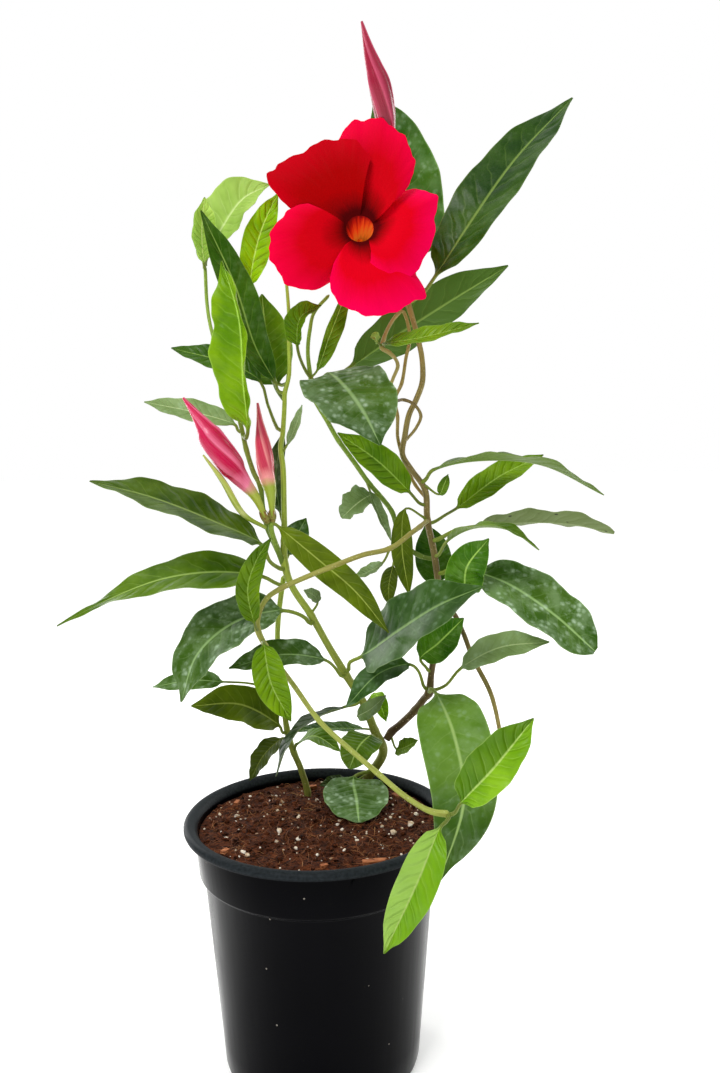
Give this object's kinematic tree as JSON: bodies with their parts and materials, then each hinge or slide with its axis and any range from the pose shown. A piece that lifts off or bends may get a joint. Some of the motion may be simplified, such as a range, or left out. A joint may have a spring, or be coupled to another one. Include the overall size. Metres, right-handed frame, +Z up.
{
  "type": "potted climbing plant",
  "caption": "Twining vine with glossy oval leaves, a red funnel bloom and pointed spiral buds, growing in a round black nursery pot filled with potting mix.",
  "frame": {"origin": "centre of the pot's flat underside", "axes": "+Z up along the pot's axis, -Y towards the side that the bloom faces, +X to the right as seen from that side"},
  "size_m": [0.2395, 0.1359, 0.4521],
  "materials": {
    "pot": "glossy black moulded plastic with a satin rim",
    "soil": "damp fibrous brown potting mix with pale grains",
    "stem": "thin olive and tan bark, woody brown at the foot",
    "leaf_dark": "dark green waxy leaf with a pale midrib",
    "leaf_mid": "mid green waxy leaf",
    "leaf_dusky": "blue-green leaf with grey spray marks",
    "leaf_olive": "olive green ageing leaf",
    "leaf_fresh": "bright green satin leaf",
    "leaf_lime": "lime green young leaf with sunk veins",
    "petal": "velvety bright red petal with a pink rim",
    "anther": "matt orange-yellow anther cone",
    "bud_pink": "silky crimson and pink spiral bud",
    "bud_salmon": "silky salmon spiral bud",
    "bud_green": "smooth yellow-green young bud"
  },
  "bodies": {
    "root": {"anther_cone": "anther", "basal_stem": "stem", "bloom": "petal", "bud_green": "bud_green", "bud_left": "bud_pink", "bud_right": "bud_salmon", "bud_top": "bud_pink", "centre_stem": "stem", "leaf_arching_pale": "leaf_lime", "leaf_basal_brown": "leaf_olive", "leaf_behind_bloom": "leaf_mid", "leaf_blotched_centre": "leaf_dusky", "leaf_centre_left": "leaf_dusky", "leaf_centre_low": "leaf_mid", "leaf_diagonal_olive": "leaf_olive", "leaf_dusky_left": "leaf_dusky", "leaf_far_left": "leaf_dark", "leaf_front_large": "leaf_dusky", "leaf_front_shaded": "leaf_dark", "leaf_grey_left": "leaf_dusky", "leaf_grey_long": "leaf_dusky", "leaf_grey_small": "leaf_dusky", "leaf_hanging_large": "leaf_mid", "leaf_hidden_dark": "leaf_dark", "leaf_hidden_olive": "leaf_olive", "leaf_left_drip": "leaf_mid", "leaf_left_drooping": "leaf_dusky", "leaf_left_olive": "leaf_olive", "leaf_left_upper": "leaf_olive", "leaf_lime_down": "leaf_lime", "leaf_lime_up": "leaf_fresh", "leaf_long_left": "leaf_dark", "leaf_mid_olive": "leaf_olive", "leaf_right_arch": "leaf_mid", "leaf_right_bright": "leaf_fresh", "leaf_right_glossy": "leaf_dark", "leaf_right_large": "leaf_dusky", "leaf_right_lower": "leaf_olive", "leaf_right_pale": "leaf_dusky", "leaf_right_slim": "leaf_mid", "leaf_rippled_left": "leaf_fresh", "leaf_rippled_pale": "leaf_lime", "leaf_round_low": "leaf_dusky", "leaf_round_small": "leaf_mid", "leaf_runner_down": "leaf_lime", "leaf_runner_up": "leaf_lime", "leaf_top_right": "leaf_dark", "leaf_under_bloom": "leaf_dark", "left_stem": "stem", "pot": "pot", "potting_mix": "soil", "right_stem": "stem", "runner": "stem", "twining_vines": "stem"}
  },
  "joints": []
}
